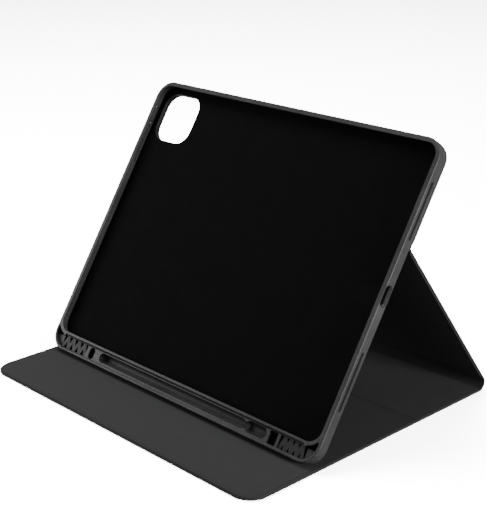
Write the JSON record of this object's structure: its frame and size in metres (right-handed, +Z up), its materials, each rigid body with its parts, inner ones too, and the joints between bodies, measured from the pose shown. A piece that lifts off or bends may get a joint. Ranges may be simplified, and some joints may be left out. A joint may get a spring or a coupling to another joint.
{
  "type": "tablet case",
  "caption": "Folio case for a 13-inch tablet, standing open: a moulded tray with a stylus channel leans on its folding brace, its foot on the creased front cover.",
  "frame": {"origin": "on the cover's underside, midway across the width and midway between the cover's front edge and the spine's rear", "axes": "+X to the right along the tablet's long side, +Y from the cover's front edge back to the spine, +Z up; the screen side faces -Y and up"},
  "size_m": [0.2869, 0.2418, 0.2002],
  "materials": {
    "folio_skin": "matt black coated fabric with a fine grain",
    "folio_lining": "charcoal microfibre, brushed",
    "board": "plain stiffening board",
    "tray_frame": "satin dark grey moulded elastomer",
    "bumper": "satin dark grey moulded elastomer",
    "back_plate": "fine matt black plastic",
    "tray_lining": "near-black microfibre",
    "magnet": "nickel-plated magnet bars",
    "camera_ring": "smooth black moulded rim",
    "key": "satin dark grey moulded elastomer"
  },
  "bodies": {
    "cover_rear": {"cover_rear_skin": "folio_skin", "cover_rear_board": "board", "cover_rear_lining": "folio_lining"},
    "cover_front": {"cover_front_skin": "folio_skin", "cover_front_board": "board", "cover_front_lining": "folio_lining", "foot_magnets": "magnet", "closing_magnets": "magnet"},
    "spine": {"spine_skin": "folio_skin", "spine_lining": "folio_lining"},
    "brace": {"brace_skin": "folio_skin", "brace_board": "board", "brace_lining": "folio_lining", "brace_magnets": "magnet"},
    "tray": {"tray_frame": "tray_frame", "left_bumper_lattice": "bumper", "right_bumper_lattice": "bumper", "back_plate": "back_plate", "tray_lining": "tray_lining", "tray_magnets": "magnet", "upper_back_skin": "folio_skin", "upper_back_board": "board", "camera_ring": "camera_ring"},
    "volume_up": {"volume_up_key": "key"},
    "volume_down": {"volume_down_key": "key"},
    "power": {"power_key": "key"}
  },
  "joints": [
    {"name": "crease_fold", "type": "hinge", "parent": "cover_rear", "child": "cover_front", "pos_m": [0, 0.03952, 0], "axis": [1, 0, 0], "range_deg": [0, 170]},
    {"name": "cover_hinge", "type": "hinge", "parent": "cover_rear", "child": "spine", "pos_m": [0, 0.12112, 0], "axis": [-1, 0, 0], "range_deg": [0, 92.2]},
    {"name": "stand_fold", "type": "hinge", "parent": "spine", "child": "brace", "pos_m": [0, 0.11472, 0.00615], "axis": [-1, 0, 0], "range_deg": [0, 34.9]},
    {"name": "tray_fold", "type": "hinge", "parent": "brace", "child": "tray", "pos_m": [0, 0.02668, 0.13216], "axis": [-1, 0, 0], "range_deg": [-69.8, 0]},
    {"name": "volume_up_press", "type": "slide", "parent": "tray", "child": "volume_up", "axis": [0, -0.5395, -0.842], "range_m": [0, 0.0004], "stiffness_N_per_m": 900},
    {"name": "volume_down_press", "type": "slide", "parent": "tray", "child": "volume_down", "axis": [0, -0.5395, -0.842], "range_m": [0, 0.0004], "stiffness_N_per_m": 900},
    {"name": "power_press", "type": "slide", "parent": "tray", "child": "power", "axis": [1, 0, 0], "range_m": [0, 0.0004], "stiffness_N_per_m": 900}
  ],
  "couplings": [
    {"joint": "tray_fold", "follows": "stand_fold", "ratio": -2}
  ]
}
